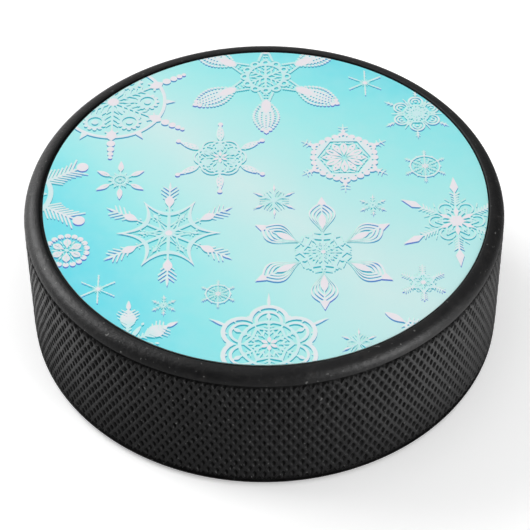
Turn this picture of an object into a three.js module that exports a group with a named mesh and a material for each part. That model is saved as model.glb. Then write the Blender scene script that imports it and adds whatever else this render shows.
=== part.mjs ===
// A regulation ice hockey puck with a printed decal laid into its top face.
// Millimetres, +Z up. The origin is the centre of the underside, where the puck rests.
import * as THREE from 'three';

// --- Puck body: one compression moulding of vulcanised rubber ---
const puckDiameter = 76.2;
const puckHeight = 25.4;

// Each face is a shallow recess inside a rolled rim.
const recessRadius = 35.6;
const recessDepth = 0.5;

// The rim that carries the decal is rounder than the one the puck slides on.
const topCornerRadius = 2.3;
const bottomCornerRadius = 1.8;
const topLipRadius = 0.2;
const bottomLipRadius = 0.25;

// A mould line groove parts each rolled rim from the knurled band on the side.
const topGrooveFromFace = 2.05;
const bottomGrooveFromFace = 1.55;
const grooveWidth = 0.5;
const grooveDepth = 0.4;
const grooveWallSlope = 0.05;

// --- Decal: three layers, cut as one disc and laid a little off the centre ---
const decalRadius = 35.3;
const decalOffsetX = 0.14;
const adhesiveThickness = 0.1;
const filmThickness = 0.15;
const printThickness = 0.05;

// --- How finely the round shapes are cut into facets ---
const segmentsAround = 72;
const stepsPerCorner = 8;
const stepsPerLip = 3;

const puckRadius = puckDiameter / 2;
const topFloor = puckHeight - recessDepth;
const adhesiveTop = topFloor + adhesiveThickness;
const filmTop = adhesiveTop + filmThickness;
const printTop = filmTop + printThickness;

const rubber = { color: 0x1d1d1e, roughness: 0.62, metalness: 0 };
const adhesive = { color: 0xd8d2bf, roughness: 0.5, metalness: 0 };
const whiteFilm = { color: 0xf1f3f2, roughness: 0.45, metalness: 0 };
const aquaInk = { color: 0x8fe4ec, roughness: 0.55, metalness: 0 };

// Points on an arc, from angle a0 to a1 in radians, as [radius, height].
function arc(centreR, centreZ, radius, a0, a1, steps) {
  return Array.from({ length: steps + 1 }, (_, i) => {
    const a = a0 + ((a1 - a0) * i) / steps;
    return [centreR + radius * Math.cos(a), centreZ + radius * Math.sin(a)];
  });
}

// A closed solid turned about the Z axis from a profile that starts and ends on it.
// The profile runs from the lowest point on the axis, out, up and back to the axis.
function revolve(profile) {
  const points = profile.map(([r, z]) => new THREE.Vector2(Math.max(r, 0), z));
  const geometry = new THREE.LatheGeometry(points, segmentsAround);
  geometry.rotateX(Math.PI / 2);
  return geometry;
}

function part(name, geometry, look) {
  const mesh = new THREE.Mesh(geometry, new THREE.MeshStandardMaterial(look));
  mesh.name = name;
  return mesh;
}

// The cut of one groove, from its lower edge to its upper edge.
function groove(middleZ, lowerR, upperR) {
  const low = middleZ - grooveWidth / 2;
  const high = middleZ + grooveWidth / 2;
  const bottomR = puckRadius - grooveDepth;
  return [
    [lowerR, low],
    [bottomR, low + grooveWallSlope],
    [bottomR, high - grooveWallSlope],
    [upperR, high],
  ];
}

function puckBody() {
  const quarter = Math.PI / 2;

  const bottomCentreR = puckRadius - bottomCornerRadius;
  const bottomGrooveLow = bottomGrooveFromFace - grooveWidth / 2;
  const rimEnd = Math.asin((bottomGrooveLow - bottomCornerRadius) / bottomCornerRadius);
  const bottomLip = arc(
    recessRadius + bottomLipRadius, bottomLipRadius, bottomLipRadius,
    -2 * quarter, -quarter, stepsPerLip,
  );
  const bottomCorner = arc(
    bottomCentreR, bottomCornerRadius, bottomCornerRadius, -quarter, rimEnd, stepsPerCorner,
  );

  const topCentreR = puckRadius - topCornerRadius;
  const topCentreZ = puckHeight - topCornerRadius;
  const topGrooveZ = puckHeight - topGrooveFromFace;
  const rimStart = Math.asin((topGrooveZ + grooveWidth / 2 - topCentreZ) / topCornerRadius);
  const topCorner = arc(
    topCentreR, topCentreZ, topCornerRadius, rimStart, quarter, stepsPerCorner,
  );
  const topLip = arc(
    recessRadius + topLipRadius, puckHeight - topLipRadius, topLipRadius,
    quarter, 2 * quarter, stepsPerLip,
  );

  return revolve([
    [0, recessDepth],
    [recessRadius, recessDepth],
    ...bottomLip,
    ...bottomCorner.slice(0, -1),
    ...groove(bottomGrooveFromFace, bottomCorner.at(-1)[0], puckRadius),
    ...groove(topGrooveZ, puckRadius, topCorner[0][0]),
    ...topCorner.slice(1),
    ...topLip.slice(1),
    [recessRadius, topFloor],
    [0, topFloor],
  ]);
}

function decalLayer(name, bottomZ, topZ, look) {
  const layer = part(
    name,
    revolve([[0, bottomZ], [decalRadius, bottomZ], [decalRadius, topZ], [0, topZ]]),
    look,
  );
  layer.position.x = decalOffsetX;
  return layer;
}

const puck = new THREE.Group();
puck.add(
  part('puck_body', puckBody(), rubber),
  decalLayer('decal_adhesive', topFloor, adhesiveTop, adhesive),
  decalLayer('decal_film', adhesiveTop, filmTop, whiteFilm),
  decalLayer('decal_print', filmTop, printTop, aquaInk),
);

export default puck;
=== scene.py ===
"""The looks of an ice hockey puck: a knurled rubber body with a printed winter decal, on a white floor.

Shapes are worked out in millimetres and turned into metres when a mesh is made. They lie in the CAD
frame: +Z is up, and the origin is the centre of the underside.
"""
import math
import random

import bpy
from mathutils import Euler, Matrix, Vector
from mathutils.geometry import delaunay_2d_cdt


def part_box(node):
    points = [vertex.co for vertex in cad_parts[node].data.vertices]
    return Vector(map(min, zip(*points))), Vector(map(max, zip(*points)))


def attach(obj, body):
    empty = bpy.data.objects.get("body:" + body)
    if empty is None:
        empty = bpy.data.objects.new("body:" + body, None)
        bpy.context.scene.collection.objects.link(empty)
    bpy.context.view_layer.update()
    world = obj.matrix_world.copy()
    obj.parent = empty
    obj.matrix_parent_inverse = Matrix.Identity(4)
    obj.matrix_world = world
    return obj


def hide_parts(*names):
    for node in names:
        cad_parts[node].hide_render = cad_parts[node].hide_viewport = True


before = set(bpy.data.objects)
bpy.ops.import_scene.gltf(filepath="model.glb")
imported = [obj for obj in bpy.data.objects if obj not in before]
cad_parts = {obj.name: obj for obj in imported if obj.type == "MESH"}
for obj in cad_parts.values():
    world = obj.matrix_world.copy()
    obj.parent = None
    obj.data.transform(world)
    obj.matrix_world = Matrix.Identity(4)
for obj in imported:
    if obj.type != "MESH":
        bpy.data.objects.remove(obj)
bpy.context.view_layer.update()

MM = 0.001
QUARTER = math.pi / 2
# Edges up to this angle, in degrees, shade as round.
SMOOTH_ANGLE = 40

# --- The puck's size, from the frame ---
BODY_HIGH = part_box("puck_body")[1] / MM
PUCK_RADIUS = BODY_HIGH.x
PUCK_HEIGHT = BODY_HIGH.z

# --- The moulding: a recess inside a rolled rim on each face, and a groove under each rim ---
RECESS_RADIUS = 35.6
RECESS_DEPTH = 0.5
TOP_CORNER = 2.3
BOTTOM_CORNER = 1.8
TOP_LIP = 0.2
BOTTOM_LIP = 0.25
TOP_GROOVE_FROM_FACE = 2.17
BOTTOM_GROOVE_FROM_FACE = 1.55
GROOVE_WIDTH = 0.72
GROOVE_DEPTH = 0.5
GROOVE_SLOPE = 0.05
# Straight steps that each rounding is made of.
LIP_STEPS = 4
BOTTOM_CORNER_STEPS = 12
TOP_CORNER_STEPS = 14

# --- The knurl: ribs of each hand round the side, and half-pitches of them up it ---
RIBS = 163
ROWS = 17
# Each pit goes down through rings of half-width, half-height and depth, to its floor's depth.
PIT_RINGS = ((0.45, 0.78, 0.06), (0.36, 0.61, 0.22), (0.25, 0.42, 0.37))
PIT_FLOOR = 0.44
# How far out a pit's sides bulge between its points: 0.5 makes a diamond, and 0.71 an ellipse.
PIT_BULGE = 0.59
# How uneven the pits are: shares of their size and of their depth, and millimetres off their place.
PIT_SIZE_SPREAD = 0.10
PIT_DEPTH_SPREAD = 0.12
PIT_DRIFT = 0.03
# A rib's crest sags between crossings, drops at the band's edges, and is a little uneven.
RIB_SAG = 0.10
RIB_END_DROP = 0.34
CREST_SPREAD = 0.02
# How far the band's edges stray up and down at each rib.
EDGE_STRAY = 0.07
RIB_SMOOTH_ANGLE = 62

COLUMNS = 2 * RIBS
SUBCOLUMNS = 2 * COLUMNS
SUBROWS = 2 * ROWS
BAND_LOW = BOTTOM_GROOVE_FROM_FACE + GROOVE_WIDTH / 2
BAND_HIGH = PUCK_HEIGHT - TOP_GROOVE_FROM_FACE - GROOVE_WIDTH / 2

# --- The decal: three layers cut as one disc, laid a little off the centre ---
DECAL_LOW, DECAL_HIGH = (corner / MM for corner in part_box("decal_film"))
DECAL_X = (DECAL_LOW.x + DECAL_HIGH.x) / 2
DECAL_RADIUS = (DECAL_HIGH.x - DECAL_LOW.x) / 2
PRINT_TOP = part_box("decal_print")[1].z / MM
CUT_EDGE_ROUND = 0.03
CUT_EDGE_STEPS = 3
# The layers have drawn in since the disc was cut, and the gap round them is widest at the left.
DECAL_SHRINK = 0.08
ADHESIVE_INSET = 0.05
PRINT_INSET = 0.02

# The print's ground colours by distance across its pale band, in millimetres from the middle.
GROUND_STOPS = (
    (-40.0, (0.13, 0.67, 0.78)),
    (-30.0, (0.18, 0.71, 0.785)),
    (-21.0, (0.28, 0.765, 0.785)),
    (-12.0, (0.42, 0.79, 0.785)),
    (0.0, (0.585, 0.795, 0.785)),
    (9.0, (0.45, 0.79, 0.785)),
    (17.0, (0.36, 0.79, 0.785)),
    (28.0, (0.26, 0.76, 0.785)),
    (40.0, (0.165, 0.70, 0.785)),
)
# The band widens towards its foot: each millimetre along it takes this share off the distance across.
GROUND_WIDENING = 0.0125

rng = random.Random(20)


# ===== Meshes =====

class Skin:
    """Vertices and faces gathered in millimetres."""

    def __init__(self, middle_x=0.0):
        self.points = []
        self.faces = []
        self.middle_x = middle_x

    def add(self, x, y, z):
        self.points.append(((x + self.middle_x) * MM, y * MM, z * MM))
        return len(self.points) - 1

    def add_polar(self, radius, angle, z):
        return self.add(radius * math.cos(angle), radius * math.sin(angle), z)

    def ring(self, radius, z):
        """A level ring of vertices, from angle 0."""
        return [self.add_polar(radius, 2 * math.pi * c / COLUMNS, z) for c in range(COLUMNS)]

    def band(self, lower, upper):
        """Quads between two rings with as many vertices. Lower comes first along an outward profile."""
        count = len(lower)
        for c in range(count):
            n = (c + 1) % count
            self.faces.append((lower[c], lower[n], upper[n], upper[c]))

    def fan(self, ring, centre, up):
        """Triangles from a ring to its centre, which face up or down."""
        count = len(ring)
        for c in range(count):
            n = (c + 1) % count
            self.faces.append((ring[c], ring[n], centre) if up else (ring[n], ring[c], centre))

    def zip(self, lower, upper):
        """Triangles between two rings whose counts differ, each a list that starts at angle 0."""
        lows = self.turns(lower)
        highs = self.turns(upper)
        i = j = 0
        while i < len(lower) or j < len(upper):
            a, b = lower[i % len(lower)], upper[j % len(upper)]
            if j >= len(upper) or (i < len(lower) and lows[i + 1] <= highs[j + 1]):
                i += 1
                self.faces.append((a, lower[i % len(lower)], b))
            else:
                j += 1
                self.faces.append((a, upper[j % len(upper)], b))

    def turns(self, ring):
        """The angle of each vertex of a ring, always rising, with the first one again at the end."""
        angles = []
        for index in [*ring, ring[0]]:
            x, y, _ = self.points[index]
            angle = math.atan2(y, x)
            while angles and angle < angles[-1] - math.pi:
                angle += 2 * math.pi
            angles.append(angle)
        return angles

    def make(self, name, material, smooth_angle=SMOOTH_ANGLE):
        mesh = bpy.data.meshes.new(name)
        mesh.from_pydata(self.points, [], self.faces)
        mesh.validate()
        mesh.shade_smooth()
        mesh.set_sharp_from_angle(angle=math.radians(smooth_angle))
        mesh.materials.append(material)
        piece = bpy.data.objects.new(name, mesh)
        bpy.context.collection.objects.link(piece)
        return piece


def arc(centre_r, centre_z, radius, start, end, steps):
    """Profile points on an arc, as (radius, height)."""
    turns = [start + (end - start) * i / steps for i in range(steps + 1)]
    return [(centre_r + radius * math.cos(a), centre_z + radius * math.sin(a)) for a in turns]


# ===== The rubber body =====

def knurl(skin):
    """The band of diamonds. Returns the vertices along its lower and its upper edge, each from angle 0."""
    step_angle = 2 * math.pi / SUBCOLUMNS
    step_z = (BAND_HIGH - BAND_LOW) / SUBROWS
    rib_points = {}

    def rib_point(i, j):
        key = (i % SUBCOLUMNS, j)
        if key not in rib_points:
            depth = abs(rng.gauss(0, CREST_SPREAD / 2))
            depth += RIB_SAG if i % 2 else 0
            depth += RIB_END_DROP if j in (0, SUBROWS) else 0
            z = BAND_LOW + j * step_z
            z += rng.uniform(-EDGE_STRAY, EDGE_STRAY) if j in (0, SUBROWS) else 0
            rib_points[key] = skin.add_polar(PUCK_RADIUS - depth, key[0] * step_angle, z)
        return rib_points[key]

    def pit(i, j, first, last):
        """One pit, or the half of it that lies in the band, from its first to its last eighth of a turn.

        Returns the line across it from its west point to its east point, which closes a half pit.
        """
        around = ((2, 0), (1, 1), (0, 2), (-1, 1), (-2, 0), (-1, -1), (0, -2), (1, -1), (2, 0))
        whole = last - first == 8
        size = 1 + rng.uniform(-PIT_SIZE_SPREAD, PIT_SIZE_SPREAD)
        deep = 1 + rng.uniform(-PIT_DEPTH_SPREAD, PIT_DEPTH_SPREAD)
        across = rng.uniform(-PIT_DRIFT, PIT_DRIFT)
        along = rng.uniform(-PIT_DRIFT, PIT_DRIFT) if whole else 0
        mid_angle = i * step_angle + across / PUCK_RADIUS
        mid_z = BAND_LOW + j * step_z + along
        outer = [rib_point(i + around[k][0], j + around[k][1]) for k in range(first, last + 1)]
        west_side, east_side = [], []
        for half_width, half_height, depth in PIT_RINGS:
            inner = []
            for k in range(first, last + 1):
                if whole and k == last:
                    inner.append(inner[0])
                    continue
                reach = 1 if k % 2 == 0 else PIT_BULGE / math.sqrt(0.5)
                dx = half_width * size * reach * math.cos(k * math.pi / 4)
                dz = half_height * size * reach * math.sin(k * math.pi / 4)
                angle = mid_angle + dx / PUCK_RADIUS
                inner.append(skin.add_polar(PUCK_RADIUS - depth * deep, angle, mid_z + dz))
            for k in range(last - first):
                skin.faces.append((outer[k], outer[k + 1], inner[k + 1], inner[k]))
            outer = inner
            east_side.append(inner[0] if first == 0 else inner[-1])
            west_side.append(inner[-1] if first == 0 else inner[0])
        middle = skin.add_polar(PUCK_RADIUS - PIT_FLOOR * deep, mid_angle, mid_z)
        for k in range(last - first):
            skin.faces.append((outer[k], outer[k + 1], middle))
        return [*west_side, middle, *reversed(east_side)]

    edges = {0: [], SUBROWS: []}
    for j in range(0, SUBROWS + 1, 2):
        start = 2 if (j // 2) % 2 == 0 else 0
        for i in range(start, SUBCOLUMNS, 4):
            if j == 0:
                line = pit(i, j, 0, 4)
            elif j == SUBROWS:
                line = pit(i, j, 4, 8)
            else:
                pit(i, j, 0, 8)
                continue
            edges[j] += [rib_point(i - 2, j), *line]
    return edges[0], turned_to_start(skin, edges[SUBROWS])


def turned_to_start(skin, ring):
    """The same ring, starting at the vertex nearest to angle 0 from above."""
    def angle(index):
        x, y, _ = skin.points[index]
        return math.atan2(y, x) % (2 * math.pi)
    first = min(range(len(ring)), key=lambda k: angle(ring[k]))
    return ring[first:] + ring[:first]


def puck_body(rubber):
    """The whole moulding: the underside and lower rim, the knurl, then the upper rim and recess."""
    skin = Skin()
    below = [(RECESS_RADIUS, RECESS_DEPTH)]
    lip_r = RECESS_RADIUS + BOTTOM_LIP
    below += arc(lip_r, BOTTOM_LIP, BOTTOM_LIP, -2 * QUARTER, -QUARTER, LIP_STEPS)
    corner_r = PUCK_RADIUS - BOTTOM_CORNER
    groove_low = BOTTOM_GROOVE_FROM_FACE - GROOVE_WIDTH / 2
    rim_end = math.asin((groove_low - BOTTOM_CORNER) / BOTTOM_CORNER)
    below += arc(corner_r, BOTTOM_CORNER, BOTTOM_CORNER, -QUARTER, rim_end, BOTTOM_CORNER_STEPS)
    groove_floor = PUCK_RADIUS - GROOVE_DEPTH
    below += [(groove_floor, groove_low + GROOVE_SLOPE), (groove_floor, BAND_LOW - GROOVE_SLOPE)]

    groove_high = BAND_HIGH + GROOVE_WIDTH
    above = [(groove_floor, BAND_HIGH + GROOVE_SLOPE), (groove_floor, groove_high - GROOVE_SLOPE)]
    corner_r = PUCK_RADIUS - TOP_CORNER
    corner_z = PUCK_HEIGHT - TOP_CORNER
    rim_start = math.asin((groove_high - corner_z) / TOP_CORNER)
    above += arc(corner_r, corner_z, TOP_CORNER, rim_start, QUARTER, TOP_CORNER_STEPS)
    lip_r = RECESS_RADIUS + TOP_LIP
    above += arc(lip_r, PUCK_HEIGHT - TOP_LIP, TOP_LIP, QUARTER, 2 * QUARTER, LIP_STEPS)[1:]
    top_floor = PUCK_HEIGHT - RECESS_DEPTH
    above += [(RECESS_RADIUS, top_floor)]

    low_edge, high_edge = knurl(skin)
    rings = [skin.ring(r, z) for r, z in below]
    skin.fan(rings[0], skin.add(0, 0, RECESS_DEPTH), up=False)
    for lower, upper in zip(rings, rings[1:]):
        skin.band(lower, upper)
    skin.zip(rings[-1], low_edge)
    rings = [skin.ring(r, z) for r, z in above]
    skin.zip(high_edge, rings[0])
    for lower, upper in zip(rings, rings[1:]):
        skin.band(lower, upper)
    skin.fan(rings[-1], skin.add(0, 0, top_floor), up=True)

    body = skin.make("puck_body_moulded", rubber, RIB_SMOOTH_ANGLE)
    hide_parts("puck_body")
    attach(body, "root")


# ===== The decal =====

def decal_layer(name, node, material, inset=0.0):
    """One layer of the decal: a disc whose cut edges are a little rounded."""
    low, high = (corner.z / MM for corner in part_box(node))
    soft = min(CUT_EDGE_ROUND, (high - low) / 2)
    radius = DECAL_RADIUS - DECAL_SHRINK - inset
    skin = Skin(DECAL_X + DECAL_SHRINK)
    profile = arc(radius - soft, low + soft, soft, -QUARTER, 0, CUT_EDGE_STEPS)
    profile += arc(radius - soft, high - soft, soft, 0, QUARTER, CUT_EDGE_STEPS)
    rings = [skin.ring(r, z) for r, z in profile]
    skin.fan(rings[0], skin.add(0, 0, low), up=False)
    for lower, upper in zip(rings, rings[1:]):
        skin.band(lower, upper)
    skin.fan(rings[-1], skin.add(0, 0, high), up=True)
    layer = skin.make(name, material)
    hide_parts(node)
    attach(layer, "root")


# --- Outlines, each a list of (x, y) ---

def spot(x, y, radius, sides=12):
    """A round dot, or a polygon with few sides."""
    turns = [2 * math.pi * k / sides for k in range(sides)]
    return [(x + radius * math.cos(a), y + radius * math.sin(a)) for a in turns]


def bar(x0, y0, x1, y1, width0, width1=None):
    """A straight stroke from one width to another."""
    width1 = width0 if width1 is None else width1
    length = math.hypot(x1 - x0, y1 - y0)
    nx, ny = (y0 - y1) / length / 2, (x1 - x0) / length / 2
    return [(x0 - nx * width0, y0 - ny * width0), (x1 - nx * width1, y1 - ny * width1),
            (x1 + nx * width1, y1 + ny * width1), (x0 + nx * width0, y0 + ny * width0)]


def petal(start, end, width, belly=0.5, steps=9):
    """A leaf along +Y, pointed at both ends and widest at its belly."""
    power = math.log(0.5) / math.log(belly)
    shares = [k / steps for k in range(1, steps)]
    side = [(width / 2 * math.sin(math.pi * t ** power), start + (end - start) * t) for t in shares]
    return [(0, start), *side, (0, end), *[(-x, y) for x, y in reversed(side)]]


def kite(start, end, width, belly=0.5):
    """A straight-sided leaf along +Y."""
    widest = start + (end - start) * belly
    return [(0, start), (width / 2, widest), (0, end), (-width / 2, widest)]


def bow(x, y, radius, start, end, width, steps=8):
    """A curved stroke: angles in degrees from +X."""
    turns = [math.radians(start + (end - start) * k / steps) for k in range(steps + 1)]
    sides = []
    for reach in (radius + width / 2, radius - width / 2):
        sides.append([(x + reach * math.cos(a), y + reach * math.sin(a)) for a in turns])
    return sides[0] + sides[1][::-1]


def star(peak, valley, power=1.0, steps=6, points=6):
    """A star whose points lie between the arms. A power over 1 bends its sides into hollow curves."""
    half = math.pi / points
    outline = []
    for side in range(points):
        arm = QUARTER + 2 * half * side
        for k in range(2 * steps):
            t = k / steps - 1
            across = peak * math.sin(half) * t
            along = valley + (peak * math.cos(half) - valley) * abs(t) ** power
            outline.append((along * math.cos(arm) - across * math.sin(arm),
                            along * math.sin(arm) + across * math.cos(arm)))
    return outline


# What an outline lays down: nothing, so that it cuts, or the ink of lines, or the fuller ink of solids.
NONE, LINE, SOLID = range(3)


class Flake:
    """A six-fold snowflake as outlines painted one on another: ink covers, and a cut takes away."""

    def __init__(self, x, y, radius, spin=0):
        self.x = x
        self.y = y
        self.radius = radius
        self.spin = math.radians(spin)
        self.outlines = []

    def paint(self, outline, ink=LINE, turn=0):
        """One outline, in shares of the flake's radius, turned by degrees about its middle."""
        a = math.radians(turn) + self.spin
        c, s = math.cos(a) * self.radius, math.sin(a) * self.radius
        placed = [(self.x + x * c - y * s, self.y + x * s + y * c) for x, y in outline]
        area = sum(x0 * y1 - x1 * y0 for (x0, y0), (x1, y1) in zip(placed, placed[1:] + placed[:1]))
        self.outlines.append((placed if area > 0 else placed[::-1], ink))

    def arms(self, *outlines, ink=LINE, turn=0, both=False):
        """Outlines that lie along +Y, put on all six arms, and mirrored too where both is set."""
        for outline in outlines:
            for k in range(6):
                self.paint(outline, ink, turn + 60 * k)
                if both:
                    self.paint([(-x, y) for x, y in outline], ink, turn + 60 * k)

    def between(self, *outlines, ink=LINE, both=False):
        self.arms(*outlines, ink=ink, turn=30, both=both)

    def solid(self, *outlines, turn=0, both=False):
        self.arms(*outlines, ink=SOLID, turn=turn, both=both)

    def cut(self, *outlines, turn=0, both=False):
        self.arms(*outlines, ink=NONE, turn=turn, both=both)

    def hoop(self, radius, width, sides=48):
        """A ring, painted before what lies in it."""
        self.paint(spot(0, 0, radius + width / 2, sides))
        self.paint(spot(0, 0, radius - width / 2, sides), NONE)

    def web(self, peak, valley, width, power=1.0, steps=6, points=6):
        """A star in outline, painted before what lies in it."""
        self.paint(star(peak, valley, power, steps, points))
        self.paint(star(peak - 1.6 * width, valley - width, power, steps, points), NONE)


# --- Kinds of snowflake. Lengths are shares of the flake's radius ---

def barbs(first, last, count, reach, rise, width, swell=0.0):
    """Side strokes from an arm, outwards and up. With swell, those in the middle are longer."""
    strokes = []
    for k in range(count):
        share = k / max(count - 1, 1)
        y = first + (last - first) * share
        size = 1 + swell * (math.sin(math.pi * share) - 0.5)
        strokes.append(bar(0, y, reach * size, y + rise * size, width, width * 0.5))
    return strokes


def needle_star(f):
    f.arms(bar(0, 0, 0, 0.96, 0.06, 0.035), spot(0, 0.95, 0.035), spot(0, 0.52, 0.045))
    f.solid(spot(0, 0.78, 0.04))
    f.between(bar(0, 0, 0, 0.28, 0.05, 0.02))
    f.paint(spot(0, 0, 0.12), SOLID)


def twig_star(f):
    f.arms(bar(0, 0, 0, 1, 0.055, 0.02))
    f.arms(*barbs(0.42, 0.64, 2, 0.16, 0.14, 0.045), both=True)
    f.solid(kite(0.60, 0.96, 0.10))
    f.between(kite(0.08, 0.38, 0.09))
    f.paint(spot(0, 0, 0.16, 10))
    f.paint(spot(0, 0, 0.08, 8), NONE)


def ray_star(f):
    f.arms(bar(0, 0, 0, 1, 0.060, 0.020))
    f.arms(bar(0, 0.1, 0.1, 0.5, 0.04, 0.025), bar(0, 0.34, 0.2, 0.6, 0.050, 0.020), both=True)
    f.solid(kite(0.50, 0.94, 0.12))
    f.between(bar(0, 0, 0, 0.58, 0.035, 0.012), spot(0, 0.58, 0.025))
    f.paint(star(0.14, 0.08))


def leaf_star(f):
    """Solid leaves about a ring of beads."""
    f.hoop(0.24, 0.045, 30)
    f.arms(bar(0, 0.26, 0, 0.5, 0.035), spot(0, 0.3, 0.04))
    f.arms(spot(0.1, 0.28, 0.03, 8), both=True)
    f.solid(petal(0.44, 1.0, 0.20, 0.42))
    f.cut(bar(0, 0.54, 0, 0.70, 0.022, 0.012))
    f.between(petal(0.28, 0.44, 0.06), kite(0.04, 0.18, 0.05))
    f.arms(kite(0.04, 0.18, 0.045))


def wheel_star(f):
    """A fine ring with a spoked flower in it, and barbs near each arm's end."""
    f.hoop(0.62, 0.045, 36)
    f.between(bow(0, 0.52, 0.09, 200, 340, 0.03, 6))
    f.arms(bar(0, 0, 0, 0.97, 0.035, 0.02), spot(0, 0.66, 0.045))
    f.arms(*barbs(0.74, 0.84, 2, 0.08, 0.06, 0.03), both=True)
    f.arms(*barbs(0.22, 0.42, 3, 0.08, 0.06, 0.026), both=True)
    f.between(bar(0, 0.14, 0, 0.46, 0.03), spot(0, 0.66, 0.03))
    f.solid(petal(0.02, 0.18, 0.08))


def lace_wheel(f):
    """A ring of round beads about six broad petals."""
    for turn in (0, 20, 40):
        f.solid(spot(0, 0.84, 0.125, 12), turn=turn)
        f.cut(spot(0, 0.76, 0.035, 8), turn=turn)
    f.paint(spot(0, 0, 0.73, 36), NONE)
    f.solid(petal(0.10, 0.68, 0.33, 0.64))
    f.cut(bar(0, 0.34, 0, 0.62, 0.03))
    f.cut(*[spot(0.06, 0.26 + 0.1 * k, 0.02, 8) for k in range(3)], both=True)
    f.between(kite(0.34, 0.66, 0.05), spot(0, 0.24, 0.03))
    f.paint(spot(0, 0, 0.08))


def ring_star(f):
    """A notched ring with barbed arms, and a bow at the end of each spoke between them."""
    f.web(0.38, 0.60, 0.085)
    f.arms(bar(0, 0, 0, 0.97, 0.050, 0.025), kite(0.36, 0.5, 0.12), spot(0, 0.92, 0.035))
    f.arms(*barbs(0.60, 0.80, 3, 0.13, 0.09, 0.045), both=True)
    f.arms(bar(0.02, 0.2, 0.12, 0.34, 0.035), bar(0, 0.5, 0.12, 0.56, 0.03), both=True)
    f.between(bar(0, 0.05, 0, 0.38, 0.03, 0.02), bow(0, 0.42, 0.07, 20, 160, 0.03, 6))
    f.paint(star(0.13, 0.08), SOLID)


def lobe_lace(f):
    """Six round lobes, each with a fine barbed spike beyond it."""
    f.arms(spot(0, 0.48, 0.21, 18))
    f.cut(spot(0, 0.48, 0.170, 16))
    f.arms(bow(0, 0.48, 0.105, -30, 210, 0.032, 10), spot(0, 0.48, 0.032))
    f.paint(spot(0, 0, 0.36, 30))
    f.cut(kite(0.20, 0.34, 0.075), kite(0.09, 0.18, 0.04), turn=30)
    f.cut(kite(0.21, 0.33, 0.055), spot(0.095, 0.29, 0.030, 8), spot(-0.095, 0.29, 0.030, 8))
    f.cut(spot(0, 0.15, 0.024, 8))
    f.between(bar(0, 0.38, 0, 0.68, 0.028, 0.014), spot(0, 0.5, 0.028))
    f.arms(kite(0.68, 1.0, 0.045))
    f.arms(*barbs(0.74, 0.84, 2, 0.06, 0.05, 0.022), both=True)


def hexagon_lace(f):
    """A crown of round lobes about a pierced six-sided flower, with branching tips."""
    for turn, y, size in ((0, 0.63, 0.115), (16, 0.63, 0.070), (-16, 0.63, 0.070), (30, 0.62, 0.075)):
        f.solid(spot(0, y, size, 16), turn=turn)
    f.paint(spot(0, 0, 0.60, 36))
    f.cut(spot(0, 0.635, 0.032, 8), spot(0.075, 0.61, 0.024, 8), spot(-0.075, 0.61, 0.024, 8))
    f.cut(spot(0, 0.585, 0.024, 8), turn=22)
    f.cut(spot(0, 0.585, 0.024, 8), turn=-22)
    f.paint(spot(0, 0, 0.550, 6), NONE)
    f.solid(petal(0.05, 0.44, 0.15, 0.62))
    f.between(petal(0.05, 0.46, 0.13, 0.66), ink=SOLID)
    f.cut(bar(0, 0.24, 0, 0.36, 0.024))
    f.cut(spot(0, 0.36, 0.022, 8), spot(0, 0.26, 0.018, 8), turn=30)
    f.arms(bar(0.035, 0.43, 0.13, 0.405, 0.030), spot(0.115, 0.33, 0.018, 8), both=True)
    f.between(bar(0.03, 0.475, 0.10, 0.425, 0.026), both=True)
    f.arms(bar(0, 0.72, 0, 1.0, 0.026, 0.010))
    f.arms(*barbs(0.80, 0.88, 2, 0.10, 0.030, 0.020), both=True)
    f.solid(kite(0.70, 0.86, 0.09))


def knot_star(f):
    """Looped bows about a small flower, and slim pierced arms that end in a ball."""
    f.arms(petal(0.46, 0.94, 0.150, 0.4))
    f.cut(*[spot(0.024 * (-1) ** k, 0.55 + 0.048 * k, 0.015, 8) for k in range(7)])
    f.solid(spot(0, 0.945, 0.05))
    for size in (0.205, 0.125):
        f.between(bow(0, 0.30, size, -50, 230, 0.030, 14))
    for size in (0.17, 0.095):
        f.arms(bow(0, 0.28, size, -5, 185, 0.026, 12))
    f.arms(bar(0, 0.12, 0, 0.46, 0.020))
    f.solid(petal(0.02, 0.16, 0.06))
    f.between(kite(0.10, 0.28, 0.045))


def web_star(f):
    """A web with hollow sides on six spokes, and a leafed twig beyond each."""
    f.web(0.71, 0.395, 0.058, 2.0, 8)
    f.web(0.50, 0.15, 0.024, 1.5)
    f.arms(bar(0, 0, 0, 0.36, 0.045, 0.032))
    f.between(bar(0, 0, 0, 0.20, 0.026, 0.012), kite(0.30, 0.42, 0.055))
    for x, y, size in ((0.045, 0.33, 0.012), (0.03, 0.29, 0.010), (0.06, 0.38, 0.012)):
        f.between(spot(x, y, size, 8), both=True)
    f.paint(spot(0, 0, 0.05), SOLID)
    f.arms(bar(0, 0.38, 0, 0.97, 0.022, 0.009))
    f.arms(*barbs(0.60, 0.82, 4, 0.11, 0.105, 0.023, 0.3), both=True)
    f.arms(petal(0.84, 1.0, 0.035, 0.3), spot(0.04, 0.47, 0.011, 8), spot(-0.04, 0.47, 0.011, 8))
    f.solid(petal(0.48, 0.72, 0.125, 0.58))


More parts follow.
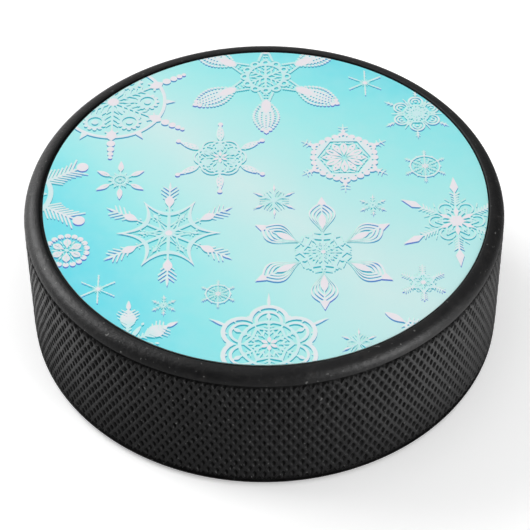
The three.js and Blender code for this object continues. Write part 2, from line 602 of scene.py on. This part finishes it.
def nested_star(f):
    """Tear-shaped petals about a lace, each with shells and a drop nested in it, that end in a spear."""
    f.web(0.315, 0.245, 0.026, 1.4)
    f.web(0.20, 0.13, 0.018, points=12, steps=3)
    f.arms(bar(0, 0, 0, 0.34, 0.018), spot(0, 0.275, 0.028))
    f.arms(*barbs(0.07, 0.11, 2, 0.045, 0.03, 0.013), both=True)
    f.arms(bar(0.02, 0.33, 0.11, 0.35, 0.022, 0.012), both=True)
    f.between(bar(0, 0.05, 0, 0.30, 0.014), kite(0.20, 0.275, 0.040), spot(0, 0.335, 0.018, 8))
    f.between(bar(0, 0.29, 0.05, 0.36, 0.018, 0.012), both=True)
    f.paint(spot(0, 0, 0.030), SOLID)
    shells = ((0.33, 0.91, 0.350), (0.345, 0.875, 0.308), (0.36, 0.845, 0.262),
              (0.37, 0.81, 0.218), (0.38, 0.785, 0.176), (0.39, 0.755, 0.146))
    for k, (start, end, width) in enumerate(shells):
        f.arms(petal(start, end, width, 0.62, 16), ink=NONE if k % 2 else LINE)
    f.arms(bar(0, 0.66, 0, 0.9, 0.012))
    f.solid(petal(0.40, 0.695, 0.100, 0.56), kite(0.835, 1.0, 0.115, 0.22))


def plume_star(f):
    """Plump beaded petals on beaded necks, about a cusped lace."""
    for turn in (0, 30):
        f.arms(spot(0, 0.235, 0.060, 14), turn=turn)
        f.cut(spot(0, 0.248, 0.030, 10), turn=turn)
    f.hoop(0.21, 0.026, 36)
    f.arms(bar(0, 0, 0, 0.2, 0.022, 0.016))
    f.arms(*barbs(0.07, 0.13, 2, 0.05, 0.045, 0.015), both=True)
    f.between(kite(0.10, 0.19, 0.026))
    f.paint(spot(0, 0, 0.030))
    for k in range(7):
        y = 0.285 + 0.025 * k
        f.arms(spot(0.082 - 0.008 * k, y, 0.0145, 6), both=True)
        if k % 2:
            f.arms(spot(0.016, y, 0.012, 6), both=True)
    f.arms(petal(0.42, 0.96, 0.225, 0.52, 12))
    rows = 12
    for k in range(rows + 1):
        y = 0.46 + 0.46 * k / rows
        half = 0.143 * math.sin(math.pi * (0.10 + 0.78 * k / rows))
        f.arms(spot(half, y, 0.018, 8), both=True)
        f.cut(spot(half * 0.72, y + 0.004, 0.0145, 6), both=True)
        if k > 3:
            f.cut(spot(half * 0.36, y + 0.02, 0.015, 6), both=True)
        if k > 5:
            f.cut(spot(0, y, 0.013, 6))
    f.solid(petal(0.40, 0.64, 0.115, 0.46, 10), spot(0, 0.950, 0.030), kite(0.94, 0.99, 0.035))
    f.solid(spot(0.042, 0.915, 0.026), both=True)


def ring_garland(f):
    """A thorned ring with beads strung outwards at the arms, and a rosette in each bay."""
    f.hoop(0.635, 0.042, 60)
    f.between(kite(0.64, 0.77, 0.075, 0.15))
    for k in range(12):
        a = 2 * math.pi * k / 12
        f.between(spot(0.125 * math.cos(a), 0.42 + 0.125 * math.sin(a), 0.024, 8))
    f.between(spot(0, 0.42, 0.118, 20))
    f.cut(spot(0, 0.42, 0.092, 18), turn=30)
    f.between(spot(0, 0.42, 0.042), bar(0, 0.04, 0, 0.26, 0.02, 0.012), petal(0.1, 0.27, 0.05))
    f.arms(bar(0, 0, 0, 0.52, 0.028, 0.02))
    f.arms(*barbs(0.14, 0.38, 4, 0.09, 0.08, 0.022, 0.3), both=True)
    f.arms(bow(0.16, 0.66, 0.15, 180, 238, 0.024, 6), both=True)
    f.solid(petal(0.50, 0.70, 0.125, 0.55))
    for y, size in ((0.750, 0.052), (0.850, 0.044), (0.932, 0.035), (0.995, 0.026)):
        f.solid(spot(0, y, size, 14))
    f.paint(spot(0, 0, 0.07), SOLID)


def feather_star(f):
    """Arms feathered with long barbs, each with a ball at its end."""
    f.hoop(0.44, 0.055)
    f.arms(bar(0, 0, 0, 0.88, 0.022))
    f.arms(*barbs(0.42, 0.76, 7, 0.13, 0.14, 0.024, -0.3), both=True)
    f.solid(spot(0, 0.92, 0.072, 18))
    f.between(petal(0.1, 0.4, 0.1))
    f.paint(spot(0, 0, 0.12))


def fir_star(f):
    """Arms like broad veined leaves with a spear at the end."""
    f.arms(bar(0, 0, 0, 0.9, 0.035, 0.02), petal(0.34, 0.80, 0.27, 0.48, 12))
    f.cut(*barbs(0.42, 0.68, 5, 0.16, 0.10, 0.018), both=True)
    f.arms(*barbs(0.40, 0.70, 5, 0.16, 0.11, 0.026, 0.5), both=True)
    f.arms(bar(0, 0.36, 0, 0.86, 0.02))
    f.arms(*barbs(0.14, 0.30, 3, 0.07, 0.055, 0.028), both=True)
    f.solid(petal(0.78, 1.0, 0.075, 0.35))
    f.between(petal(0.06, 0.46, 0.07, 0.6), kite(0.48, 0.56, 0.04))
    f.paint(star(0.16, 0.09), SOLID)


def lance_star(f):
    """Chevroned arms that end in a long diamond, with looped bays between them."""
    f.arms(bar(0, 0, 0, 0.70, 0.028, 0.02))
    f.arms(*barbs(0.36, 0.58, 5, 0.07, 0.055, 0.026, -0.3), both=True)
    f.between(bow(0, 0.32, 0.115, -30, 210, 0.022, 12), kite(0.10, 0.30, 0.045))
    for x0, y0, x1, y1, width0, width1 in ((0.02, 0.20, 0.17, 0.30, 0.026, 0.018),
                                           (0.08, 0.24, 0.11, 0.15, 0.020, 0.012),
                                           (0.10, 0.44, 0.17, 0.50, 0.016, 0.010)):
        f.arms(bar(x0, y0, x1, y1, width0, width1), both=True)
    f.solid(kite(0.62, 1.0, 0.135, 0.38), kite(0.05, 0.32, 0.080, 0.6))
    f.paint(star(0.15, 0.09), SOLID)


def lobed_rosette(f):
    """Six wide double lobes about a round lace, with a needle rising from each."""
    f.arms(spot(0, 0.43, 0.285, 24))
    f.cut(spot(0, 0.43, 0.228, 24))
    f.arms(bow(0, 0.41, 0.172, -20, 200, 0.038, 14), petal(0.44, 0.56, 0.06))
    f.between(petal(0.44, 0.60, 0.035))
    f.hoop(0.40, 0.038, 42)
    f.web(0.355, 0.265, 0.028)
    f.web(0.255, 0.175, 0.020, points=12, steps=3)
    f.arms(bar(0, 0.13, 0, 0.58, 0.016), kite(0.27, 0.37, 0.045), spot(0, 0.21, 0.02, 8))
    f.between(bar(0, 0.13, 0, 0.42, 0.016), kite(0.26, 0.33, 0.04))
    f.arms(*barbs(0.30, 0.36, 2, 0.07, 0.030, 0.016), both=True)
    f.arms(petal(0.68, 0.95, 0.045, 0.3))
    f.arms(bar(0.12, 0.67, 0.12, 0.59, 0.014), both=True)
    f.solid(petal(0.02, 0.13, 0.055))


def leaf_tip_star(f):
    """Arms of lacy leaflets that end in a plain leaf."""
    f.arms(bar(0, 0, 0, 0.78, 0.018))
    f.arms(*barbs(0.44, 0.70, 6, 0.10, 0.045, 0.022, 0.4), both=True)
    for k in range(5):
        f.arms(spot(0.045 + 0.022 * (k % 2), 0.48 + 0.055 * k, 0.018, 8), both=True)
    f.solid(petal(0.74, 1.0, 0.085, 0.5))
    f.between(petal(0.1, 0.5, 0.08))


# Each flake's kind, middle and radius on the decal, and its turn in degrees if it has one.
FLAKES = (
    (plume_star, 0.5, 29.0, 14.2),
    (ring_garland, -24.75, 23.0, 13.4),
    (knot_star, -7.0, 9.5, 8.3),
    (leaf_star, -22.9, 4.4, 4.4),
    (feather_star, -39.6, 1.4, 13.2),
    (lace_wheel, -30.6, -11.2, 3.7),
    (web_star, -14.9, -7.6, 11.5),
    (ray_star, 1.6, -0.5, 3.8),
    (twig_star, 17.2, -1.8, 2.4),
    (nested_star, 9.1, -12.0, 12.2),
    (hexagon_lace, 13.0, 9.2, 7.9),
    (needle_star, 17.0, 27.2, 3.1),
    (lobe_lace, 25.2, 19.5, 6.0),
    (wheel_star, 25.9, 7.0, 3.8),
    (lance_star, 30.2, -5.5, 9.9),
    (ring_star, 24.2, -18.7, 3.9),
    (needle_star, -25.4, -19.5, 3.0),
    (twig_star, -15.3, -23.0, 2.1),
    (wheel_star, -7.1, -20.7, 3.0),
    (fir_star, -20.6, -30.7, 8.7),
    (lobed_rosette, 0.6, -31.0, 11.0),
    (ray_star, 14.0, -31.0, 3.0),
    (leaf_tip_star, 29.5, -32.8, 14.0, -5),
)

# Each ink, in the order printed: its shift on the print, and how far its top stands above the print.
SHADE_SHIFT = (0.0, -0.30)
SHADE_HEIGHT = 0.010
GLINT_SHIFT = (-0.11, 0.11)
GLINT_HEIGHT = 0.020
LINE_HEIGHT = 0.035
SOLID_HEIGHT = 0.045
# How deep an ink's underside lies in the print, and how far ink stays from the decal's cut edge.
INK_ROOT = 0.005
INK_MARGIN = 0.06
# Outline points nearer than this become one.
MERGE_WITHIN = 0.0001


def inked_triangles(outlines, clip, inks):
    """What outlines painted in order leave of these inks, as points and triangles, kept inside the clip."""
    points = []
    shapes = []
    for outline, _ in [*outlines, (clip, LINE)]:
        shapes.append(list(range(len(points), len(points) + len(outline))))
        points += [Vector(p) for p in outline]
    clip_index = len(outlines)
    points, _, triangles, _, _, sources = delaunay_2d_cdt(points, [], shapes, 1, MERGE_WITHIN, True)
    inked = []
    for triangle, within in zip(triangles, sources):
        painted = [k for k in within if k != clip_index]
        if clip_index in within and painted and outlines[max(painted)][1] in inks:
            inked.append(triangle)
    return points, inked


def snow_layer(name, material, flakes, shift, height, inks=(LINE, SOLID)):
    """One printing of every snowflake, as a thin closed relief on the print.

    Each vertex keeps its reach: its distance from the middle of its flake, in shares of the radius.
    """
    skin = Skin()
    reach = []
    clip = spot(DECAL_X + DECAL_SHRINK, 0, DECAL_RADIUS - DECAL_SHRINK - INK_MARGIN, COLUMNS)
    for flake in flakes:
        moved = []
        for outline, ink in flake.outlines:
            moved.append(([(x + shift[0], y + shift[1]) for x, y in outline], ink))
        points, triangles = inked_triangles(moved, clip, inks)
        used = sorted({k for triangle in triangles for k in triangle})
        place = {}
        for k in used:
            x, y = points[k]
            place[k] = (skin.add(x, y, PRINT_TOP - INK_ROOT), skin.add(x, y, PRINT_TOP + height))
            share = math.hypot(x - flake.x, y - flake.y) / flake.radius
            reach += [share, share]
        edges = {(t[k], t[(k + 1) % 3]) for t in triangles for k in range(3)}
        for a, b, c in triangles:
            skin.faces.append((place[a][1], place[b][1], place[c][1]))
            skin.faces.append((place[c][0], place[b][0], place[a][0]))
        for a, b in sorted(edges):
            if (b, a) not in edges:
                skin.faces.append((place[a][0], place[b][0], place[b][1], place[a][1]))
    layer = skin.make(name, material)
    attribute = layer.data.attributes.new("reach", "FLOAT", "POINT")
    attribute.data.foreach_set("value", reach)
    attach(layer, "root")


def print_snow():
    flakes = []
    for kind, *place in FLAKES:
        flake = Flake(*place)
        kind(flake)
        flakes.append(flake)
    snow_layer("print_snow_shade", shade_ink(), flakes, SHADE_SHIFT, SHADE_HEIGHT)
    snow_layer("print_snow_glint", glint_ink(), flakes, GLINT_SHIFT, GLINT_HEIGHT)
    snow_layer("print_snow_lines", line_ink(), flakes, (0, 0), LINE_HEIGHT, (LINE,))
    snow_layer("print_snow_solids", solid_ink(), flakes, (0, 0), SOLID_HEIGHT, (SOLID,))


# ===== Materials =====

class Nodes:
    """A material's node tree, with short ways to add nodes and wire them."""

    def __init__(self, name):
        self.material = bpy.data.materials.new(name)
        self.material.use_nodes = True
        self.tree = self.material.node_tree
        self.shader = self.tree.nodes["Principled BSDF"]
        self.place = self.tree.nodes.new("ShaderNodeTexCoord").outputs["Object"]

    def link(self, source, target):
        self.tree.links.new(source, target)

    def fill(self, socket, value):
        if isinstance(value, bpy.types.NodeSocket):
            self.link(value, socket)
        else:
            socket.default_value = value

    def noise(self, scale, detail=2.0, roughness=0.5):
        node = self.tree.nodes.new("ShaderNodeTexNoise")
        node.inputs["Scale"].default_value = scale
        node.inputs["Detail"].default_value = detail
        node.inputs["Roughness"].default_value = roughness
        self.link(self.place, node.inputs["Vector"])
        return node.outputs["Fac"]

    def axes(self):
        """The place's x, y and z."""
        node = self.tree.nodes.new("ShaderNodeSeparateXYZ")
        self.link(self.place, node.inputs[0])
        return node.outputs

    def reach(self):
        """How far from the middle of its snowflake a place is, in shares of the radius."""
        node = self.tree.nodes.new("ShaderNodeAttribute")
        node.attribute_name = "reach"
        return node.outputs["Fac"]

    def math(self, operation, a, b=0.0, c=0.0):
        node = self.tree.nodes.new("ShaderNodeMath")
        node.operation = operation
        for socket, value in zip(node.inputs, (a, b, c)):
            self.fill(socket, value)
        return node.outputs[0]

    def spread(self, value, low, high, to_low=0.0, to_high=1.0):
        """Maps value from low..high to to_low..to_high, and clamps it there."""
        node = self.tree.nodes.new("ShaderNodeMapRange")
        for socket, v in zip(node.inputs, (value, low, high, to_low, to_high)):
            self.fill(socket, v)
        return node.outputs[0]

    def ramp(self, value, stops):
        node = self.tree.nodes.new("ShaderNodeValToRGB")
        line = node.color_ramp
        while len(line.elements) < len(stops):
            line.elements.new(1.0)
        for element, (position, colour) in zip(line.elements, stops):
            element.position = position
            element.color = (*colour, 1)
        self.link(value, node.inputs["Fac"])
        return node.outputs["Color"]

    def mix(self, factor, a, b, blend="MIX"):
        node = self.tree.nodes.new("ShaderNodeMix")
        node.data_type = "RGBA"
        node.blend_type = blend
        self.fill(node.inputs["Factor"], factor)
        for socket, value in zip((node.inputs[6], node.inputs[7]), (a, b)):
            self.fill(socket, value if isinstance(value, bpy.types.NodeSocket) else (*value, 1))
        return node.outputs[2]

    def bump(self, height, distance, strength, below=None):
        node = self.tree.nodes.new("ShaderNodeBump")
        node.inputs["Strength"].default_value = strength
        node.inputs["Distance"].default_value = distance
        self.link(height, node.inputs["Height"])
        if below:
            self.link(below, node.inputs["Normal"])
        return node.outputs["Normal"]

    def surface(self, colour, roughness, normal, gloss=0.5):
        """Wires the shader's inputs up, and gives the finished material."""
        inputs = self.shader.inputs
        self.link(colour, inputs["Base Color"])
        self.link(roughness, inputs["Roughness"])
        self.link(normal, inputs["Normal"])
        inputs["Specular IOR Level"].default_value = gloss
        return self.material


# The rubber's looks change with the distance from the puck's axis and with the height:
# a rubbed crest is at most this deep, and the painted shade in the hollows begins and is full at these
# depths,
RUBBED_DEPTH = 0.15
HOLLOW_SHADE_START = 0.10
HOLLOW_SHADE_FULL = 0.36
# and the side's looks end above and below the band between these two distances.
SIDE_END_LOW = (0.6, 0.4)
SIDE_END_HIGH = (0.4, 0.55)


def rubber_zones(n):
    """Masks for the rubber: the knurl's crests, the side with its grooves, and the hollows that get painted
    shade.
    """
    x, y, z = n.axes()
    from_axis = n.math("SQRT", n.math("ADD", n.math("POWER", x, 2.0), n.math("POWER", y, 2.0)))
    crest = n.spread(from_axis, (PUCK_RADIUS - RUBBED_DEPTH) * MM, PUCK_RADIUS * MM)
    above_foot = n.spread(z, *[(BAND_LOW - end) * MM for end in SIDE_END_LOW])
    below_rim = n.spread(z, *[(BAND_HIGH + end) * MM for end in SIDE_END_HIGH], 1.0, 0.0)
    side = n.math("MULTIPLY", above_foot, below_rim)
    deep = n.spread(from_axis, (PUCK_RADIUS - HOLLOW_SHADE_FULL) * MM, (PUCK_RADIUS - HOLLOW_SHADE_START) * MM, 1.0, 0.0)
    recess = n.spread(from_axis, RECESS_RADIUS * MM, (RECESS_RADIUS + TOP_LIP) * MM, 1.0, 0.0)
    top_recess = n.math("MULTIPLY", recess, n.math("GREATER_THAN", z, BAND_HIGH * MM))
    hollow = n.math("MAXIMUM", n.math("MULTIPLY", deep, side), top_recess)
    return crest, side, hollow


def rubber_material():
    """Moulded black rubber: satin and grained, with rubbed crests, scuffed rims and a few pale specks."""
    n = Nodes("rubber_black_moulded")
    crest, side, hollow = rubber_zones(n)
    patches = n.noise(160, detail=4)
    grain = n.noise(5200, detail=3, roughness=0.6)
    fine = n.noise(1500, detail=4, roughness=0.65)
    colour = n.mix(n.spread(patches, 0.35, 0.65), (0.0045, 0.0045, 0.0048), (0.0075, 0.0075, 0.008))
    colour = n.mix(n.math("MULTIPLY", crest, n.spread(fine, 0.35, 0.7)), colour, (0.013, 0.013, 0.0135))
    specks = n.spread(n.noise(1900, detail=1), 0.72, 0.77)
    colour = n.mix(n.math("MULTIPLY", specks, 0.7), colour, (0.16, 0.16, 0.155))
    scuffs = n.spread(n.noise(520, detail=5, roughness=0.7), 0.52, 0.72)
    scuffs = n.math("MULTIPLY", scuffs, n.math("SUBTRACT", 1.0, side))
    colour = n.mix(n.math("MULTIPLY", scuffs, 0.5), colour, (0.022, 0.019, 0.018))
    # Painted shade: the knurl's pits and the top recess are darkened to near black, as shade would make
    # them look.
    colour = n.mix(hollow, colour, (0.0015, 0.0015, 0.0016))
    rough = n.math("ADD", n.spread(fine, 0.3, 0.7, 0.30, 0.46), n.spread(patches, 0.3, 0.7, -0.03, 0.03))
    rough = n.math("ADD", rough, n.math("MULTIPLY", scuffs, 0.12))
    rough = n.math("ADD", rough, n.math("MULTIPLY", hollow, 0.4))
    grained = n.bump(grain, 0.00004, 0.6)
    return n.surface(colour, rough, n.bump(fine, 0.00014, 0.6, below=grained), 0.45)


def ground_ink():
    """The aqua ground: palest along the diagonal that falls to the right, and deeper to both sides."""
    n = Nodes("ink_aqua_ground")
    x, y, _ = n.axes()
    diagonal = math.sqrt(0.5) / MM
    across = n.math("MULTIPLY", n.math("ADD", x, y), diagonal)
    along = n.math("MULTIPLY", n.math("SUBTRACT", x, y), diagonal)
    across = n.math("MULTIPLY", across, n.math("MULTIPLY_ADD", along, -GROUND_WIDENING, 1.0))
    cloud = n.noise(90, detail=3)
    streaks = n.noise(420, detail=2)
    across = n.math("ADD", across, n.spread(cloud, 0.2, 0.8, -2.0, 2.0))
    first, last = GROUND_STOPS[0][0], GROUND_STOPS[-1][0]
    stops = [((k - first) / (last - first), tint) for k, tint in GROUND_STOPS]
    colour = n.ramp(n.spread(across, first, last), stops)
    colour = n.mix(n.spread(streaks, 0.35, 0.75, 0.0, 0.10), colour, (0.60, 0.78, 0.78))
    colour = n.mix(n.spread(n.noise(3800, detail=1), 0.5, 0.8, 0.0, 0.06), colour, (0.30, 0.66, 0.76))
    rough = n.spread(streaks, 0.3, 0.7, 0.55, 0.65)
    return n.surface(colour, rough, n.bump(n.noise(900, detail=3), 0.00002, 0.25), 0.16)


def finished_ink(n, colour, unevenness, smoothest, roughest, gloss):
    """A snow ink's surface: its roughness runs from least to most, and it has a fine grain."""
    rough = n.spread(unevenness, 0.3, 0.7, smoothest, roughest)
    return n.surface(colour, rough, n.bump(n.noise(2600, detail=2), 0.00001, 0.3), gloss)


def line_ink():
    """The ink of fine strokes: pale, and thin enough that the aqua tints it, most of all mid-flake."""
    n = Nodes("ink_snow_lines")
    thin = n.noise(330, detail=3)
    colour = n.mix(n.spread(thin, 0.3, 0.7), (0.70, 0.78, 0.80), (0.76, 0.77, 0.80))
    colour = n.mix(n.spread(n.noise(4200, detail=2), 0.45, 0.7, 0.0, 0.15), colour, (0.64, 0.74, 0.78))
    colour = n.mix(n.spread(n.reach(), 0.35, 0.60), (0.56, 0.785, 0.80), colour)
    return finished_ink(n, colour, thin, 0.55, 0.65, 0.16)


def solid_ink():
    """Raised white ink of the solid shapes, a little warm and uneven."""
    n = Nodes("ink_snow_solids")
    thin = n.noise(330, detail=3)
    colour = n.mix(n.spread(thin, 0.45, 0.75, 0.0, 0.35), (0.79, 0.745, 0.785), (0.72, 0.76, 0.79))
    colour = n.mix(n.spread(n.noise(4200, detail=2), 0.45, 0.7, 0.0, 0.12), colour, (0.72, 0.68, 0.76))
    return finished_ink(n, colour, thin, 0.55, 0.65, 0.16)


def shade_ink():
    """Shadow ink: teal near the middle of a flake, and blue towards its tips."""
    n = Nodes("ink_snow_shade")
    wander = n.math("ADD", n.reach(), n.spread(n.noise(500), 0.3, 0.7, -0.12, 0.12))
    colour = n.mix(n.spread(wander, 0.5, 0.95), (0.02, 0.42, 0.52), (0.09, 0.20, 0.60))
    return finished_ink(n, colour, n.noise(900), 0.45, 0.55, 0.2)


def glint_ink():
    """Pale green-white ink that edges a flake away from its shadow."""
    n = Nodes("ink_snow_glint")
    colour = n.mix(n.spread(n.noise(700, detail=2), 0.35, 0.65), (0.42, 0.84, 0.75), (0.55, 0.86, 0.80))
    return finished_ink(n, colour, n.noise(900), 0.45, 0.55, 0.2)


def film_material():
    """White vinyl coloured dark grey as painted shade in the gap round the decal, since only its cut edge
    is seen.
    """
    n = Nodes("vinyl_film_white")
    # Painted shade: these dark greys stand in for the shadow in the gap where the film's cut edge shows.
    colour = n.mix(n.spread(n.noise(600, detail=3), 0.35, 0.7), (0.34, 0.36, 0.35), (0.16, 0.17, 0.17))
    rough = n.spread(n.noise(1200), 0.3, 0.7, 0.35, 0.5)
    return n.surface(colour, rough, n.bump(n.noise(1500, detail=2), 0.00002, 0.3))


def adhesive_material():
    """Clear acrylic gone slightly amber, with dust caught in it."""
    n = Nodes("adhesive_acrylic")
    dust = n.spread(n.noise(2400, detail=2), 0.62, 0.7)
    colour = n.mix(n.spread(n.noise(300, detail=3), 0.3, 0.7), (0.60, 0.55, 0.42), (0.48, 0.43, 0.32))
    colour = n.mix(dust, colour, (0.10, 0.10, 0.09))
    rough = n.spread(dust, 0.0, 1.0, 0.3, 0.7)
    return n.surface(colour, rough, n.bump(n.noise(1800, detail=2), 0.00003, 0.4))


# ===== Camera, floor and light =====

# The camera stands off the puck's middle, in metres, and looks a little below it and leans a little.
CAMERA_DISTANCE = 0.3691
CAMERA_ELEVATION = math.radians(45.77)
CAMERA_LENS = 154.5
AIM_BELOW = math.radians(0.296)
AIM_RIGHT = math.radians(0.014)
CAMERA_ROLL = math.radians(-0.52)


def make_camera():
    data = bpy.data.cameras.new("camera")
    data.lens = CAMERA_LENS
    data.sensor_width = 36
    data.clip_start = 0.02
    data.clip_end = 20
    camera = bpy.data.objects.new("camera", data)
    bpy.context.collection.objects.link(camera)
    middle = Vector((0, 0, PUCK_HEIGHT / 2)) * MM
    back = Vector((0, -math.cos(CAMERA_ELEVATION), math.sin(CAMERA_ELEVATION)))
    turn = Euler((QUARTER - CAMERA_ELEVATION - AIM_BELOW, 0, -AIM_RIGHT)).to_matrix()
    turn = turn @ Matrix.Rotation(CAMERA_ROLL, 3, "Z")
    camera.matrix_world = Matrix.LocRotScale(middle + back * CAMERA_DISTANCE, turn, None)
    bpy.context.scene.camera = camera


ROOM_GLOW = 0.38
# Each patch's azimuth, elevation, the angles from its middle to its edge and its core, and its gain.
ROOM_PATCHES = (
    (245, 36, 48, 14, 0.08),
    (35, 12, 52, 14, 0.25),
    (270, -50, 50, 20, 0.7),
    (348, -28, 50, 10, 3.0),
    (140, -28, 50, 10, 2.7),
)
# Each softbox's name, azimuth and elevation, distance, width and height in metres, radiance, and
# whether reflections show it.
SOFTBOXES = (
    ("softbox_left", 150, 34, 2.0, 1.46, 1.31, 5.0, True),
    ("softbox_right", 325, 21, 2.0, 1.08, 1.0, 6.0, True),
    ("softbox_top", 270, 80, 2.0, 1.6, 1.6, 1.35, False),
)
FLOOR_REACH = 9000
FLOOR_GLOW = 0.30
BACKDROP_RADIUS = 950
BACKDROP_TOP = 2500
# The puck darkens the floor at its foot, and the lower part of its side mirrors that.
CONTACT_REACH = 10
CONTACT_GLOW = 0.12
CONTACT_HEIGHT = 0.05


def direction(azimuth, elevation):
    """The unit vector towards a compass place: azimuth in degrees from +X towards +Y."""
    a, e = math.radians(azimuth), math.radians(elevation)
    return Vector((math.cos(a) * math.cos(e), math.sin(a) * math.cos(e), math.sin(e)))


def softbox(name, azimuth, elevation, distance, width, height, radiance, mirrored):
    """A rectangular light that faces the puck and that the camera doesn't see."""
    data = bpy.data.lights.new(name, "AREA")
    data.shape = "RECTANGLE"
    data.size = width
    data.size_y = height
    data.energy = radiance * math.pi * width * height
    light = bpy.data.objects.new(name, data)
    towards = direction(azimuth, elevation)
    light.location = towards * distance
    light.rotation_mode = "QUATERNION"
    light.rotation_quaternion = towards.to_track_quat("Z", "Y")
    light.visible_camera = False
    light.visible_glossy = mirrored
    bpy.context.collection.objects.link(light)


def make_world():
    """A pale room with dark flags and bright cards in it."""
    world = bpy.data.worlds.new("studio")
    world.use_nodes = True
    tree = world.node_tree
    background = tree.nodes["Background"]
    place = tree.nodes.new("ShaderNodeTexCoord").outputs["Generated"]
    glow = None
    for azimuth, elevation, edge, core, gain in ROOM_PATCHES:
        dot = tree.nodes.new("ShaderNodeVectorMath")
        dot.operation = "DOT_PRODUCT"
        tree.links.new(place, dot.inputs[0])
        dot.inputs[1].default_value = direction(azimuth, elevation)
        fall = tree.nodes.new("ShaderNodeMapRange")
        fall.interpolation_type = "SMOOTHSTEP"
        fall.inputs["From Min"].default_value = math.cos(math.radians(edge))
        fall.inputs["From Max"].default_value = math.cos(math.radians(core))
        fall.inputs["To Min"].default_value = 1.0
        fall.inputs["To Max"].default_value = gain
        tree.links.new(dot.outputs["Value"], fall.inputs["Value"])
        product = tree.nodes.new("ShaderNodeMath")
        product.operation = "MULTIPLY"
        product.inputs[0].default_value = ROOM_GLOW
        if glow:
            tree.links.new(glow, product.inputs[0])
        tree.links.new(fall.outputs[0], product.inputs[1])
        glow = product.outputs[0]
    background.inputs["Color"].default_value = (1, 1, 1, 1)
    tree.links.new(glow, background.inputs["Strength"])
    bpy.context.scene.world = world


def stage_nodes(name, paint, gloss, glow):
    """A grey paint, from 0 for black to 1 for white, that also glows."""
    nodes = Nodes(name)
    nodes.shader.inputs["Base Color"].default_value = (paint, paint, paint, 1)
    nodes.shader.inputs["Roughness"].default_value = 0.8
    nodes.shader.inputs["Specular IOR Level"].default_value = gloss
    nodes.shader.inputs["Emission Color"].default_value = (1, 1, 1, 1)
    nodes.shader.inputs["Emission Strength"].default_value = glow
    return nodes


def make_floor():
    """A white floor, which reflections don't show."""
    nodes = stage_nodes("floor_white", 0.92, 0.1, FLOOR_GLOW)
    skin = Skin()
    corners = ((-1, -1), (1, -1), (1, 1), (-1, 1))
    skin.faces.append([skin.add(x * FLOOR_REACH, y * FLOOR_REACH, 0) for x, y in corners])
    floor = skin.make("floor", nodes.material)
    floor.visible_glossy = False


def make_contact_shade():
    """A dark ring on the floor about the puck's foot, which is seen only in reflections."""
    nodes = stage_nodes("contact_shade", 0, 0, CONTACT_GLOW)
    length = nodes.tree.nodes.new("ShaderNodeVectorMath")
    length.operation = "LENGTH"
    nodes.link(nodes.place, length.inputs[0])
    near, far = PUCK_RADIUS, PUCK_RADIUS + CONTACT_REACH
    fade = nodes.spread(length.outputs["Value"], near * MM, far * MM, 1.0, 0.0)
    nodes.link(fade, nodes.shader.inputs["Alpha"])
    skin = Skin()
    inner = skin.ring(PUCK_RADIUS - BOTTOM_CORNER, CONTACT_HEIGHT)
    skin.band(skin.ring(far, CONTACT_HEIGHT), inner)
    shade = skin.make("contact_shade", nodes.material)
    shade.visible_camera = False
    shade.visible_diffuse = False
    shade.visible_shadow = False


def make_backdrop():
    """A white wall all round, which only the camera sees."""
    skin = Skin()
    skin.band(skin.ring(BACKDROP_RADIUS, BACKDROP_TOP), skin.ring(BACKDROP_RADIUS, 0))
    wall = skin.make("backdrop", stage_nodes("backdrop_white", 0, 0, 1).material)
    wall.visible_diffuse = False
    wall.visible_glossy = False
    wall.visible_shadow = False


make_camera()
make_world()
make_floor()
make_contact_shade()
make_backdrop()
for box in SOFTBOXES:
    softbox(*box)
bpy.context.scene.view_settings.view_transform = "Standard"

puck_body(rubber_material())
decal_layer("decal_adhesive_acrylic", "decal_adhesive", adhesive_material(), ADHESIVE_INSET)
decal_layer("decal_film_vinyl", "decal_film", film_material())
decal_layer("decal_ground_print", "decal_print", ground_ink(), PRINT_INSET)
print_snow()
